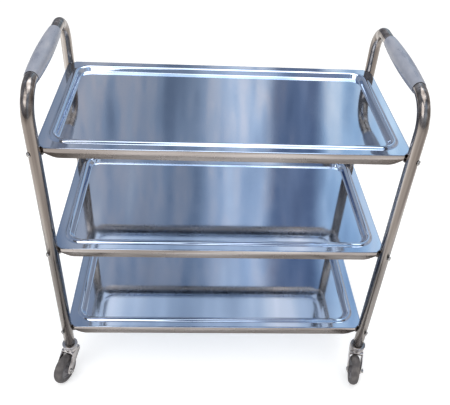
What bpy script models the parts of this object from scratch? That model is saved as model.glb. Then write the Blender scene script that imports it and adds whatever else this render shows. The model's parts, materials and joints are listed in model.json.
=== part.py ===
"""Food service trolley: two bent-tube end frames carrying three pressed trays on four swivel casters.

Units are metres. +X runs along the length, +Y across the width, +Z up.
The origin lies on the floor, at the centre of the four legs.
"""

from math import asin, cos, pi, radians, sin, sqrt, tan

import bmesh
import bpy
from mathutils import Matrix, Vector

# ---------------------------------------------------------------- driving sizes

# Overall sizes: the leg axes stand on a rectangle, which is also the trays' outline.
FRAME_SPACING = 0.725
LEG_SPACING = 0.375

# End frames: round tube bent into an upside-down U.
TUBE_DIAMETER = 0.025
TUBE_WALL = 0.0012
CROSSBAR_HEIGHT = 0.788
BEND_RADIUS = 0.060
TUBE_SIDES = 16
BEND_STEPS = 5

# Grips: barrel-shaped sleeves on the crossbars.
GRIP_FRONT_MARGIN = 0.0025
GRIP_REAR_MARGIN = 0.0365
GRIP_WALL = 0.0015
GRIP_SWELL = 0.004
GRIP_STEPS = 6

# Trays: one pressed sheet each, with a bead around the recess and a folded skirt.
TRAY_HEIGHTS = {"bottom": 0.162, "middle": 0.419, "top": 0.676}
TRAY_SHEET = 0.001
FOLD_RADIUS = 0.0015
SKIRT_DEPTH = 0.022
SKIRT_END_DEPTH = 0.011
SKIRT_END_LENGTH = 0.020
TONGUE_DEPTH = 0.020
TONGUE_INSET = 0.006
FLANGE_WIDTH = 0.018
BEAD_WIDTH = 0.014
BEAD_HEIGHT = 0.004
BEAD_CORNER_RADIUS = 0.040
FLOOR_CORNER_RADIUS = 0.020
RECESS_DEPTH = 0.008
WALL_SLOPE = radians(60.0)
WALL_FILLET = 0.004
CORNER_STEPS = 4

# Tray bolts and nuts, on the 45 degree line through each leg.
BOLT_DIAMETER = 0.006
BOLT_HEAD_DIAMETER = 0.011
BOLT_HEAD_HEIGHT = 0.0036
BOLT_END_LENGTH = 0.0015
BOLT_DROP = 0.011
BOLT_SIDES = 8
NUT_FLATS = 0.010
NUT_THICKNESS = 0.005
HOLE_CLEARANCE = 0.0003

# Casters.
WHEEL_DIAMETER = 0.075
TYRE_WIDTH = 0.021
TYRE_DEPTH = 0.0125
WHEEL_SIDES = 20
HUB_DISC_THICKNESS = 0.013
HUB_RIM_WIDTH = 0.019
HUB_RIM_DEPTH = 0.004
HUB_BOSS_DIAMETER = 0.017
AXLE_DIAMETER = 0.006
TRAIL = 0.033
FORK_OUTER_WIDTH = 0.034
FORK_SHEET = 0.002
FORK_CROWN_CLEARANCE = 0.009
FORK_CROWN_THICKNESS = 0.0025
FORK_CROWN_REACH = 0.017
FORK_LIP_DEPTH = 0.008
FORK_LIP_THICKNESS = 0.003
FORK_EAR_RADIUS = 0.009
FORK_CUP_DIAMETER = 0.036
FORK_CUP_HEIGHT = 0.0099
SWIVEL_CUP_DIAMETER = 0.038
SWIVEL_CUP_HEIGHT = 0.0065
KING_PIN_DIAMETER = 0.008
KING_PIN_HEAD_DIAMETER = 0.014
KING_PIN_HEAD_HEIGHT = 0.003
STEM_DIAMETER = 0.010
STEM_LENGTH = 0.030
PLUG_LENGTH = 0.026
PLUG_FLANGE_THICKNESS = 0.0017
TURNED_SIDES = 12

# Gap left between pieces that touch.
SEAT_GAP = 0.0003

# How each caster stands at rest: (X side, Y side, swivel angle about Z in degrees).
CASTERS = {
    "front_left": (-1, -1, -24.8),
    "front_right": (1, -1, -9.8),
    "rear_left": (-1, 1, 180.0 - 9.8),
    "rear_right": (1, 1, 180.0 - 24.8),
}

# ---------------------------------------------------------------- derived sizes

TUBE_RADIUS = TUBE_DIAMETER / 2
TUBE_BORE_RADIUS = TUBE_RADIUS - TUBE_WALL
TUBE_FLAT_RADIUS = TUBE_RADIUS * cos(pi / TUBE_SIDES)
# Distance from a leg's axis to the chamfered tray corner that rests against it.
CORNER_STANDOFF = TUBE_FLAT_RADIUS + SEAT_GAP
WHEEL_RADIUS = WHEEL_DIAMETER / 2
HUB_RADIUS = WHEEL_RADIUS - TYRE_DEPTH - SEAT_GAP
FORK_INNER_WIDTH = FORK_OUTER_WIDTH - 2 * FORK_SHEET
HUB_WIDTH = FORK_INNER_WIDTH - 2 * SEAT_GAP
# The straight stretch of a crossbar carries its grip, less a margin at each end.
GRIP_LENGTH = LEG_SPACING - 2 * BEND_RADIUS - GRIP_FRONT_MARGIN - GRIP_REAR_MARGIN
GRIP_END_RADIUS = TUBE_RADIUS + GRIP_WALL
# A caster's stack, from the tyre up: crown, race cup, stem cup, plug flange, end of the leg.
FORK_CROWN_HEIGHT = WHEEL_DIAMETER + FORK_CROWN_CLEARANCE
FORK_CUP_TOP = FORK_CROWN_HEIGHT + FORK_CUP_HEIGHT
CUP_BOTTOM = FORK_CUP_TOP + SEAT_GAP
CUP_TOP = CUP_BOTTOM + SWIVEL_CUP_HEIGHT
PLUG_FLANGE_BOTTOM = CUP_TOP + SEAT_GAP
PLUG_FLANGE_TOP = PLUG_FLANGE_BOTTOM + PLUG_FLANGE_THICKNESS
LEG_END_HEIGHT = PLUG_FLANGE_TOP + SEAT_GAP


# ---------------------------------------------------------------- scene and materials

def clear_scene():
    for item in list(bpy.data.objects):
        bpy.data.objects.remove(item, do_unlink=True)


def finish(name, colour, roughness, metallic):
    """A Principled material."""
    material = bpy.data.materials.new(name)
    material.use_nodes = True
    shader = material.node_tree.nodes["Principled BSDF"]
    shader.inputs["Base Color"].default_value = (*colour, 1.0)
    shader.inputs["Roughness"].default_value = roughness
    shader.inputs["Metallic"].default_value = metallic
    material.diffuse_color = (*colour, 1.0)
    return material


def place(name, mesh, material, location=(0, 0, 0), rotation=(0, 0, 0), parent=None):
    """A named object with one material, placed in the world or under its parent."""
    item = bpy.data.objects.new(name, mesh)
    bpy.context.scene.collection.objects.link(item)
    item.location = location
    item.rotation_euler = rotation
    item.parent = parent
    if material is not None and not mesh.materials:
        mesh.materials.append(material)
    return item


def guide(name, mesh, **placing):
    """A cutter: it shapes other pieces and is no piece itself."""
    item = place(name, mesh, None, **placing)
    item.hide_render = True
    item.display_type = "WIRE"
    return item


def cut(item, cutter, operation="DIFFERENCE"):
    modifier = item.modifiers.new(cutter.name, "BOOLEAN")
    modifier.operation = operation
    modifier.solver = "EXACT"
    modifier.object = cutter
    return modifier


def mesh_from(shape, name, smooth_angle=radians(35)):
    """Close a bmesh into a mesh with outward faces, smooth except at its sharp edges."""
    bmesh.ops.remove_doubles(shape, verts=shape.verts[:], dist=1e-6)
    bmesh.ops.recalc_face_normals(shape, faces=shape.faces[:])
    mesh = bpy.data.meshes.new(name)
    shape.to_mesh(mesh)
    shape.free()
    mesh.shade_smooth()
    mesh.set_sharp_from_angle(angle=smooth_angle)
    return mesh


# ---------------------------------------------------------------- shared shapes

def outer_radius(radius, sides):
    """Corner radius of a polygon whose flat sides lie at the given radius."""
    return radius / cos(pi / sides)


def turned(name, profile, sides, closed=False, face_down=False):
    """Turn (radius, height) points about Z. A closed profile makes a ring with a bore."""
    shape = bmesh.new()
    start = pi / sides if face_down else 0.0
    corners = [shape.verts.new((r * cos(start), r * sin(start), h)) for r, h in profile]
    edges = [shape.edges.new(pair) for pair in zip(corners, corners[1:])]
    if closed:
        edges.append(shape.edges.new((corners[-1], corners[0])))
    bmesh.ops.spin(shape, geom=corners + edges, cent=(0, 0, 0), axis=(0, 0, 1), dvec=(0, 0, 0),
                   angle=2 * pi, steps=sides, use_merge=True, use_duplicate=False)
    return mesh_from(shape, name)


def cylinder(shape, radius, start, end, sides):
    """Add a closed cylinder between two points."""
    axis = end - start
    turn = axis.to_track_quat("Z", "Y").to_matrix().to_4x4()
    middle = Matrix.Translation((start + end) / 2)
    bmesh.ops.create_cone(shape, cap_ends=True, segments=sides, radius1=radius, radius2=radius,
                          depth=axis.length, matrix=middle @ turn)


def prism(shape, outline, low, high):
    """Add the solid that a (y, z) outline sweeps from x = low to x = high."""
    face = shape.faces.new([shape.verts.new((low, y, z)) for y, z in outline])
    sweep = bmesh.ops.extrude_face_region(shape, geom=[face])
    moved = [part for part in sweep["geom"] if isinstance(part, bmesh.types.BMVert)]
    bmesh.ops.translate(shape, verts=moved, vec=(high - low, 0, 0))


def arc(centre, radius, start, end, steps):
    """Points of an arc in a plane, ends included."""
    angles = [start + (end - start) * step / steps for step in range(steps + 1)]
    return [(centre[0] + radius * cos(a), centre[1] + radius * sin(a)) for a in angles]


def solid_mesh(pattern):
    """The pattern's mesh with its modifiers applied; the pattern and its cutters are removed."""
    cutters = [modifier.object for modifier in pattern.modifiers if modifier.type == "BOOLEAN"]
    evaluated = pattern.evaluated_get(bpy.context.evaluated_depsgraph_get())
    mesh = bpy.data.meshes.new_from_object(evaluated)
    mesh.name = pattern.name
    mesh.shade_smooth()
    mesh.set_sharp_from_angle(angle=radians(35))
    for item in [pattern, *cutters]:
        bpy.data.objects.remove(item, do_unlink=True)
    return mesh


def corner_directions():
    """Each leg's X and Y side, with the outline's direction into and out of that corner."""
    yield 1, -1, Vector((1, 0)), Vector((0, 1))
    yield 1, 1, Vector((0, 1)), Vector((-1, 0))
    yield -1, 1, Vector((-1, 0)), Vector((0, -1))
    yield -1, -1, Vector((0, -1)), Vector((1, 0))


def leg_axis(side_x, side_y):
    return Vector((side_x * FRAME_SPACING / 2, side_y * LEG_SPACING / 2, 0))


def diagonal(side_x, side_y):
    """Level direction from the trolley's inside out through a leg."""
    return Vector((side_x, side_y, 0)).normalized()


# ---------------------------------------------------------------- end frames

def frame_stations():
    """(y, z, angle) along the tube: up the front leg, over the crossbar and down the rear leg."""
    leg = LEG_SPACING / 2
    bend_height = CROSSBAR_HEIGHT - BEND_RADIUS
    stations = [(-leg, LEG_END_HEIGHT, 0.0)]
    for middle, first in ((BEND_RADIUS - leg, 0.0), (leg - BEND_RADIUS, pi / 2)):
        for step in range(BEND_STEPS + 1):
            angle = first + pi / 2 * step / BEND_STEPS
            y = middle - BEND_RADIUS * cos(angle)
            stations.append((y, bend_height + BEND_RADIUS * sin(angle), angle))
    stations.append((leg, LEG_END_HEIGHT, pi))
    return stations


def frame_mesh():
    """The bent tube, hollow and open at its lower ends, drilled for the six tray bolts."""
    shape = bmesh.new()
    walls = []
    for radius in (TUBE_RADIUS, TUBE_BORE_RADIUS):
        rings = []
        for y, z, angle in frame_stations():
            middle = Vector((0, y, z))
            across = Vector((0, cos(angle), -sin(angle)))
            turns = [2 * pi * (side + 0.5) / TUBE_SIDES for side in range(TUBE_SIDES)]
            points = [middle + radius * (Vector((cos(t), 0, 0)) + sin(t) * across) for t in turns]
            rings.append([shape.verts.new(point) for point in points])
        for near, far in zip(rings, rings[1:]):
            for side in range(TUBE_SIDES):
                after = (side + 1) % TUBE_SIDES
                shape.faces.new((near[side], near[after], far[after], far[side]))
        walls.append(rings)
    for outer, inner in ((walls[0][0], walls[1][0]), (walls[0][-1], walls[1][-1])):
        for side in range(TUBE_SIDES):
            after = (side + 1) % TUBE_SIDES
            shape.faces.new((outer[side], outer[after], inner[after], inner[side]))
    return mesh_from(shape, "frame")


def frame_holes(side_x):
    """Six drills across the tube, along the bolts."""
    shape = bmesh.new()
    radius = outer_radius(BOLT_DIAMETER / 2 + HOLE_CLEARANCE, BOLT_SIDES)
    for side_y in (-1, 1):
        for height in TRAY_HEIGHTS.values():
            middle = Vector((0, side_y * LEG_SPACING / 2, height - BOLT_DROP))
            reach = diagonal(side_x, side_y) * TUBE_DIAMETER
            cylinder(shape, radius, middle - reach, middle + reach, BOLT_SIDES)
    return mesh_from(shape, "frame_holes")


def make_frames(steel):
    for name, side_x in (("frame_left", -1), ("frame_right", 1)):
        pattern = place(name + "_tube", frame_mesh(), steel)
        cut(pattern, guide(name + "_drill", frame_holes(side_x)))
        place(name, solid_mesh(pattern), steel, location=(side_x * FRAME_SPACING / 2, 0, 0))


# ---------------------------------------------------------------- grips

def grip_mesh():
    """A barrel with a bore that slides over the crossbar."""
    bore = TUBE_RADIUS + SEAT_GAP
    profile = [(bore, GRIP_LENGTH)]
    for step in range(GRIP_STEPS, -1, -1):
        share = step / GRIP_STEPS
        swell = 1 - (2 * share - 1) ** 2
        profile.append((GRIP_END_RADIUS + GRIP_SWELL * swell, GRIP_LENGTH * share))
    profile.append((bore, 0.0))
    return turned("grip", profile, TUBE_SIDES, closed=True, face_down=True)


def make_grips(plastic):
    mesh = grip_mesh()
    front_end = BEND_RADIUS - LEG_SPACING / 2 + GRIP_FRONT_MARGIN
    for name, side_x in (("grip_left", -1), ("grip_right", 1)):
        place(name, mesh, plastic, location=(side_x * FRAME_SPACING / 2, front_end, CROSSBAR_HEIGHT),
              rotation=(-pi / 2, 0, 0))


# ---------------------------------------------------------------- trays

def skirt_ring(inset, depths):
    """The tray's outer outline, with its cut corners, at an inset and at given depths."""
    cut_length = (CORNER_STANDOFF - inset * (sqrt(2) - 1)) * sqrt(2)
    points = []
    for side_x, side_y, into, out in corner_directions():
        corner = Vector((side_x * (FRAME_SPACING / 2 - inset), side_y * (LEG_SPACING / 2 - inset)))
        fold_in = corner - into * cut_length
        fold_out = corner + out * cut_length
        along = (fold_out - fold_in).normalized()
        plan = [
            fold_in - into * SKIRT_END_LENGTH,
            fold_in - into * SKIRT_END_LENGTH / 3,
            fold_in,
            fold_in + along * TONGUE_INSET,
            fold_out - along * TONGUE_INSET,
            fold_out,
            fold_out + out * SKIRT_END_LENGTH / 3,
            fold_out + out * SKIRT_END_LENGTH,
        ]
        points.extend(Vector((x, y, -depth)) for (x, y), depth in zip(plan, depths))
    return points


def pressed_ring(inset, height):
    """A rounded rectangle at an inset from the tray's outline."""
    radius = max(FLOOR_CORNER_RADIUS, BEAD_CORNER_RADIUS - (inset - FLANGE_WIDTH))
    points = []
    for side_x, side_y, into, out in corner_directions():
        centre = Vector((side_x * (FRAME_SPACING / 2 - inset - radius),
                         side_y * (LEG_SPACING / 2 - inset - radius)))
        for step in range(CORNER_STEPS + 1):
            angle = pi / 2 * step / CORNER_STEPS
            x, y = centre + radius * (into * sin(angle) - out * cos(angle))
            points.append(Vector((x, y, height)))
    return points


def tray_profile():
    """(inset, height) from the bead's outer foot, over the bead and down the wall to the floor."""
    half = BEAD_WIDTH / 2
    crown = (half ** 2 + BEAD_HEIGHT ** 2) / (2 * BEAD_HEIGHT)
    middle = (FLANGE_WIDTH + half, BEAD_HEIGHT - crown)
    bead = arc(middle, crown, pi / 2 + asin(half / crown), pi / 2 - WALL_SLOPE, 3)
    drop = bead[-1][1] + RECESS_DEPTH
    foot = bead[-1][0] + drop / tan(WALL_SLOPE)
    tangent = WALL_FILLET * tan(WALL_SLOPE / 2)
    fillet_middle = (foot + tangent, WALL_FILLET - RECESS_DEPTH)
    fillet = arc(fillet_middle, WALL_FILLET, 3 * pi / 2 - WALL_SLOPE, 3 * pi / 2, 2)
    return [(FLANGE_WIDTH, 0.0), *bead[1:], *fillet]


def tray_mesh():
    """The pressed sheet's upper face; the sheet's thickness lies under it."""
    shape = bmesh.new()
    rounding = sqrt(1 - (2 / 3) ** 2)
    shoulder = SKIRT_END_DEPTH + (SKIRT_DEPTH - SKIRT_END_DEPTH) * rounding
    half = [SKIRT_DEPTH, shoulder, SKIRT_END_DEPTH, TONGUE_DEPTH]
    rings = [skirt_ring(0.0, half + half[::-1]),
             skirt_ring(0.0, [FOLD_RADIUS] * 8),
             skirt_ring(FOLD_RADIUS, [0.0] * 8)]
    rings.extend(pressed_ring(inset, height) for inset, height in tray_profile())
    loops = []
    for ring in rings:
        corners = [shape.verts.new(point) for point in ring]
        pairs = zip(corners, corners[1:] + corners[:1])
        loops.append([shape.edges.new(pair) for pair in pairs])
    for outer, inner in zip(loops, loops[1:]):
        bmesh.ops.bridge_loops(shape, edges=outer + inner)
    floor = bmesh.ops.contextual_create(shape, geom=loops[-1])["faces"][0]
    bmesh.ops.recalc_face_normals(shape, faces=shape.faces[:])
    if floor.normal.z < 0:
        bmesh.ops.reverse_faces(shape, faces=shape.faces[:])
    mesh = bpy.data.meshes.new("tray")
    shape.to_mesh(mesh)
    shape.free()
    return mesh


def tray_holes():
    """Four drills through the cut corners, along the bolts."""
    shape = bmesh.new()
    radius = outer_radius(BOLT_DIAMETER / 2 + HOLE_CLEARANCE, BOLT_SIDES)
    for side_x, side_y, _, _ in corner_directions():
        start = leg_axis(side_x, side_y) - Vector((0, 0, BOLT_DROP))
        end = start - diagonal(side_x, side_y) * (CORNER_STANDOFF + TRAY_SHEET) * 1.5
        cylinder(shape, radius, start, end, BOLT_SIDES)
    return mesh_from(shape, "tray_holes")


def make_trays(steel):
    pattern = place("tray_sheet", tray_mesh(), steel)
    wall = pattern.modifiers.new("sheet", "SOLIDIFY")
    wall.thickness = TRAY_SHEET
    wall.offset = -1
    wall.use_even_offset = True
    cut(pattern, guide("tray_drill", tray_holes()))
    mesh = solid_mesh(pattern)
    for level, height in TRAY_HEIGHTS.items():
        place("tray_" + level, mesh, steel, location=(0, 0, height))


# ---------------------------------------------------------------- bolts and nuts

def bolt_mesh(name, grip):
    """A domed head above z = 0 and a shank of the given length below it."""
    head = BOLT_HEAD_DIAMETER / 2
    rim = BOLT_HEAD_HEIGHT * 0.3
    dome = [(head * sin(t), rim + (BOLT_HEAD_HEIGHT - rim) * cos(t)) for t in (0, pi / 6, pi / 3, pi / 2)]
    shank = BOLT_DIAMETER / 2
    return turned(name, [*dome, (head, 0), (shank, 0), (shank, -grip), (0, -grip)], BOLT_SIDES)


def nut_mesh():
    """A hexagon nut standing on z = 0."""
    shape = bmesh.new()
    start = Vector((0, 0, 0))
    cylinder(shape, outer_radius(NUT_FLATS / 2, 6), start, Vector((0, 0, NUT_THICKNESS)), 6)
    pattern = place("nut_blank", mesh_from(shape, "nut"), None)
    shape = bmesh.new()
    reach = Vector((0, 0, NUT_THICKNESS * 2))
    bore = outer_radius(BOLT_DIAMETER / 2 + HOLE_CLEARANCE, BOLT_SIDES)
    cylinder(shape, bore, -reach, reach, BOLT_SIDES)
    cut(pattern, guide("nut_drill", mesh_from(shape, "nut_bore")))
    return solid_mesh(pattern)


def make_tray_fasteners(steel, nut_solid):
    outside = TUBE_FLAT_RADIUS + SEAT_GAP
    nut_seat = CORNER_STANDOFF + TRAY_SHEET + SEAT_GAP
    bolt = bolt_mesh("tray_bolt", outside + nut_seat + NUT_THICKNESS + BOLT_END_LENGTH)
    for level, height in TRAY_HEIGHTS.items():
        for corner, (side_x, side_y, _) in CASTERS.items():
            middle = leg_axis(side_x, side_y) + Vector((0, 0, height - BOLT_DROP))
            outward = diagonal(side_x, side_y)
            head_turn = outward.to_track_quat("Z", "Y").to_euler()
            nut_turn = (-outward).to_track_quat("Z", "Y").to_euler()
            place(f"bolt_{level}_{corner}", bolt, steel, middle + outward * outside, head_turn)
            place(f"nut_{level}_{corner}", nut_solid, steel, middle - outward * nut_seat, nut_turn)


# ---------------------------------------------------------------- casters



def plug_mesh():
    """The expander pressed into a leg's end, bored for the caster's stem."""
    bore = outer_radius(STEM_DIAMETER / 2 + HOLE_CLEARANCE, TURNED_SIDES)
    body = TUBE_BORE_RADIUS * cos(pi / TUBE_SIDES) - SEAT_GAP
    top = PLUG_FLANGE_TOP + PLUG_LENGTH
    profile = [(bore, top), (body, top), (body, PLUG_FLANGE_TOP), (TUBE_RADIUS, PLUG_FLANGE_TOP),
               (TUBE_RADIUS, PLUG_FLANGE_BOTTOM), (bore, PLUG_FLANGE_BOTTOM)]
    return turned("tube_plug", profile, TURNED_SIDES, closed=True)


def stem_mesh():
    """Stem, upper swivel cup and king pin, with the rivet head that holds the fork up."""
    stem = STEM_DIAMETER / 2
    cup = SWIVEL_CUP_DIAMETER / 2
    pin = KING_PIN_DIAMETER / 2
    head = KING_PIN_HEAD_DIAMETER / 2
    rounding = SWIVEL_CUP_HEIGHT / 3
    stem_top = CUP_TOP + STEM_LENGTH
    head_top = FORK_CROWN_HEIGHT - FORK_CROWN_THICKNESS - SEAT_GAP
    head_bottom = head_top - KING_PIN_HEAD_HEIGHT
    profile = [(0, stem_top), (stem, stem_top), (stem, CUP_TOP), (cup - rounding, CUP_TOP),
               (cup, CUP_TOP - rounding), (cup, CUP_BOTTOM + rounding / 2), (cup - rounding / 2, CUP_BOTTOM),
               (pin, CUP_BOTTOM), (pin, head_top), (head, head_top), (head, head_bottom), (0, head_bottom)]
    return turned("caster_stem", profile, TURNED_SIDES)


def fork_outline():
    """(y, z) outline of the fork's side: crown at the top, ear round the axle, trailing along -Y."""
    ear_middle = (-TRAIL, WHEEL_RADIUS)
    ear = arc(ear_middle, FORK_EAR_RADIUS, radians(150), radians(330), 6)
    crown_front = (-FORK_CROWN_REACH, FORK_CROWN_HEIGHT)
    crown_back = (FORK_CROWN_REACH, FORK_CROWN_HEIGHT)
    lip_back = (FORK_CROWN_REACH, FORK_CROWN_HEIGHT - FORK_LIP_DEPTH)
    shoulder = (-TRAIL, (FORK_CROWN_HEIGHT + WHEEL_RADIUS) / 2)
    return [crown_back, crown_front, shoulder, *ear, lip_back]


def fork_channel():
    """The space between the fork's sides, with a lip left at the crown's front and back."""
    shape = bmesh.new()
    far = WHEEL_DIAMETER
    lip = FORK_CROWN_HEIGHT - FORK_LIP_DEPTH
    roof = FORK_CROWN_HEIGHT - FORK_CROWN_THICKNESS
    inside = FORK_CROWN_REACH - FORK_LIP_THICKNESS
    outline = [(far, -far), (far, lip), (inside, lip), (inside, roof), (-inside, roof), (-inside, lip),
               (-far, lip), (-far, -far)]
    prism(shape, outline, -FORK_INNER_WIDTH / 2, FORK_INNER_WIDTH / 2)
    return mesh_from(shape, "fork_channel")


def fork_mesh():
    """The pressed fork: crown with its race cup, and two sides that carry the axle."""
    shape = bmesh.new()
    prism(shape, fork_outline(), -FORK_OUTER_WIDTH / 2, FORK_OUTER_WIDTH / 2)
    pattern = place("fork_blank", mesh_from(shape, "fork"), None)

    cup = FORK_CUP_DIAMETER / 2
    cup_foot = FORK_CROWN_HEIGHT - FORK_CROWN_THICKNESS / 2
    rounding = FORK_CUP_HEIGHT / 4
    profile = [(0, FORK_CUP_TOP), (cup - rounding, FORK_CUP_TOP), (cup, FORK_CUP_TOP - rounding),
               (cup, cup_foot), (0, cup_foot)]
    cut(pattern, guide("fork_cup", turned("fork_cup", profile, TURNED_SIDES)), "UNION")
    cut(pattern, guide("fork_channel", fork_channel()))

    shape = bmesh.new()
    pin_hole = outer_radius(KING_PIN_DIAMETER / 2 + HOLE_CLEARANCE, TURNED_SIDES)
    roof = Vector((0, 0, FORK_CROWN_HEIGHT - FORK_CROWN_THICKNESS * 2))
    cylinder(shape, pin_hole, roof, Vector((0, 0, CUP_TOP)), TURNED_SIDES)
    axle_hole = outer_radius(AXLE_DIAMETER / 2 + HOLE_CLEARANCE, BOLT_SIDES)
    reach = Vector((FORK_OUTER_WIDTH, 0, 0))
    axle = Vector((0, -TRAIL, WHEEL_RADIUS))
    cylinder(shape, axle_hole, axle - reach, axle + reach, BOLT_SIDES)
    cut(pattern, guide("fork_drill", mesh_from(shape, "fork_holes")))
    return solid_mesh(pattern)


def tyre_mesh():
    """A tyre with a flat-topped, rounded tread, turned about its axle (Z)."""
    inner = outer_radius(HUB_RADIUS + SEAT_GAP, WHEEL_SIDES)
    outer = outer_radius(WHEEL_RADIUS, WHEEL_SIDES)
    half = TYRE_WIDTH / 2
    side = [(inner, half * 0.9), (inner + TYRE_DEPTH * 0.3, half), (outer - TYRE_DEPTH * 0.2, half * 0.85),
            (outer, half * 0.4)]
    profile = side + [(radius, -height) for radius, height in reversed(side)]
    return turned("tyre", profile, WHEEL_SIDES, closed=True, face_down=True)


def hub_mesh():
    """The wheel's centre: boss, thin disc and rim, turned about its axle (Z)."""
    bore = outer_radius(AXLE_DIAMETER / 2 + HOLE_CLEARANCE, WHEEL_SIDES)
    boss = HUB_BOSS_DIAMETER / 2
    rim = outer_radius(HUB_RADIUS, WHEEL_SIDES)
    disc_edge = rim - HUB_RIM_DEPTH
    side = [(bore, HUB_WIDTH / 2), (boss, HUB_WIDTH / 2), (boss, HUB_DISC_THICKNESS / 2),
            (disc_edge, HUB_DISC_THICKNESS / 2), (disc_edge, HUB_RIM_WIDTH / 2), (rim, HUB_RIM_WIDTH / 2)]
    profile = side + [(radius, -height) for radius, height in reversed(side)]
    return turned("hub", profile, WHEEL_SIDES, closed=True, face_down=True)


def make_casters(steel, plated, rubber, hub_plastic, plug_plastic, nut_solid):
    plug, stem, fork, tyre, hub = plug_mesh(), stem_mesh(), fork_mesh(), tyre_mesh(), hub_mesh()
    half_fork = FORK_OUTER_WIDTH / 2 + SEAT_GAP
    bolt = bolt_mesh("axle_bolt", half_fork * 2 + NUT_THICKNESS + BOLT_END_LENGTH)
    along_axle = (0, pi / 2, 0)
    for corner, (side_x, side_y, swivel_degrees) in CASTERS.items():
        leg = leg_axis(side_x, side_y)
        place("tube_plug_" + corner, plug, plug_plastic, leg)
        place("caster_stem_" + corner, stem, plated, leg)

        swivel = place("swivel_" + corner, None, None, leg, (0, 0, radians(swivel_degrees)))
        place("fork_" + corner, fork, plated, parent=swivel)
        axle = place("axle_" + corner, None, None, (0, -TRAIL, WHEEL_RADIUS), parent=swivel)
        place("axle_bolt_" + corner, bolt, steel, (-half_fork, 0, 0), (0, -pi / 2, 0), axle)
        place("axle_nut_" + corner, nut_solid, steel, (half_fork, 0, 0), along_axle, axle)
        place("tyre_" + corner, tyre, rubber, rotation=along_axle, parent=axle)
        place("hub_" + corner, hub, hub_plastic, rotation=along_axle, parent=axle)


# ---------------------------------------------------------------- the whole trolley

clear_scene()
tray_steel = finish("tray_steel", (0.36, 0.41, 0.50), 0.16, 1.0)
tube_steel = finish("tube_steel", (0.42, 0.39, 0.35), 0.22, 1.0)
bolt_steel = finish("bolt_steel", (0.55, 0.54, 0.53), 0.28, 1.0)
fork_plating = finish("fork_plating", (0.55, 0.53, 0.54), 0.25, 1.0)
grip_plastic = finish("grip_plastic", (0.33, 0.34, 0.38), 0.55, 0.0)
tyre_rubber = finish("tyre_rubber", (0.11, 0.10, 0.11), 0.80, 0.0)
hub_grey = finish("hub_grey", (0.16, 0.15, 0.16), 0.55, 0.0)
plug_black = finish("plug_black", (0.03, 0.03, 0.03), 0.60, 0.0)

nut = nut_mesh()
nut.materials.append(bolt_steel)
make_frames(tube_steel)
make_grips(grip_plastic)
make_trays(tray_steel)
make_tray_fasteners(bolt_steel, nut)
make_casters(bolt_steel, fork_plating, tyre_rubber, hub_grey, plug_black, nut)
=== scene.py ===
import json
from math import asin, cos, pi, radians, sin, sqrt, tan

import bmesh
import bpy
from mathutils import Matrix, Vector


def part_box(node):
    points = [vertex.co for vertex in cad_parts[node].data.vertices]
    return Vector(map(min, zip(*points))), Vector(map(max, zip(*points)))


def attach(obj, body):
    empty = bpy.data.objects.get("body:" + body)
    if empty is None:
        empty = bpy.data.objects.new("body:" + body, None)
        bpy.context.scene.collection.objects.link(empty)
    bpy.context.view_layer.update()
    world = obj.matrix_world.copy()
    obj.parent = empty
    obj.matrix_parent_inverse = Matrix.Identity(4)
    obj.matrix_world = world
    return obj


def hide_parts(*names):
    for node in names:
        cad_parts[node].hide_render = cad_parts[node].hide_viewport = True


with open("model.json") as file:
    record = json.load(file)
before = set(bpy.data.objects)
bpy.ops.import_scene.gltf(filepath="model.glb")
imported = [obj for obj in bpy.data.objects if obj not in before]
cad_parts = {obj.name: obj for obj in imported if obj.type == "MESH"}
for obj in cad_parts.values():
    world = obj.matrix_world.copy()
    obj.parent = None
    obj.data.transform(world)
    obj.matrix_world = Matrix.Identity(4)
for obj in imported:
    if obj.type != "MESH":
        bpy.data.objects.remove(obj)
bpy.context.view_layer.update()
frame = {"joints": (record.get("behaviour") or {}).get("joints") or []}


# ---------------------------------------------------------------- studio: camera
# A standing person's view of the trolley, from the middle of its long side and well above
# the top tray. The three angles turn the camera about Z, tip it down and roll it a little.

VIEW_POINT = Vector((-0.0613, -1.1140, 1.2883))
VIEW_TURN = radians(-3.92)
VIEW_TIP = radians(38.38)
VIEW_ROLL = radians(3.40)
LENS_MM = 46.62
SENSOR_MM = 36.0

camera_data = bpy.data.cameras.new("camera")
camera_data.sensor_width = SENSOR_MM
camera_data.lens = LENS_MM
camera = bpy.data.objects.new("camera", camera_data)
bpy.context.scene.collection.objects.link(camera)
turn = Matrix.Rotation(VIEW_TURN, 4, "Z") @ Matrix.Rotation(pi / 2 - VIEW_TIP, 4, "X")
camera.matrix_world = Matrix.Translation(VIEW_POINT) @ turn @ Matrix.Rotation(VIEW_ROLL, 4, "Z")
bpy.context.scene.camera = camera
bpy.context.scene.view_settings.view_transform = "Standard"


# ---------------------------------------------------------------- studio: floor, walls of light, lamps
# A pale seamless floor under a soft white room. Two large soft boxes hang over the trolley,
# one to the front left and a broader one overhead, for the long glints on the metal.

FLOOR_SIZE = 14.0
FLOOR_COLOUR = (0.82, 0.82, 0.82, 1)
FLOOR_GLOW = 0.46
ROOM_LIGHT = 0.60
ROOM_PALE = (1.0, 1.0, 1.0, 1)
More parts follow.
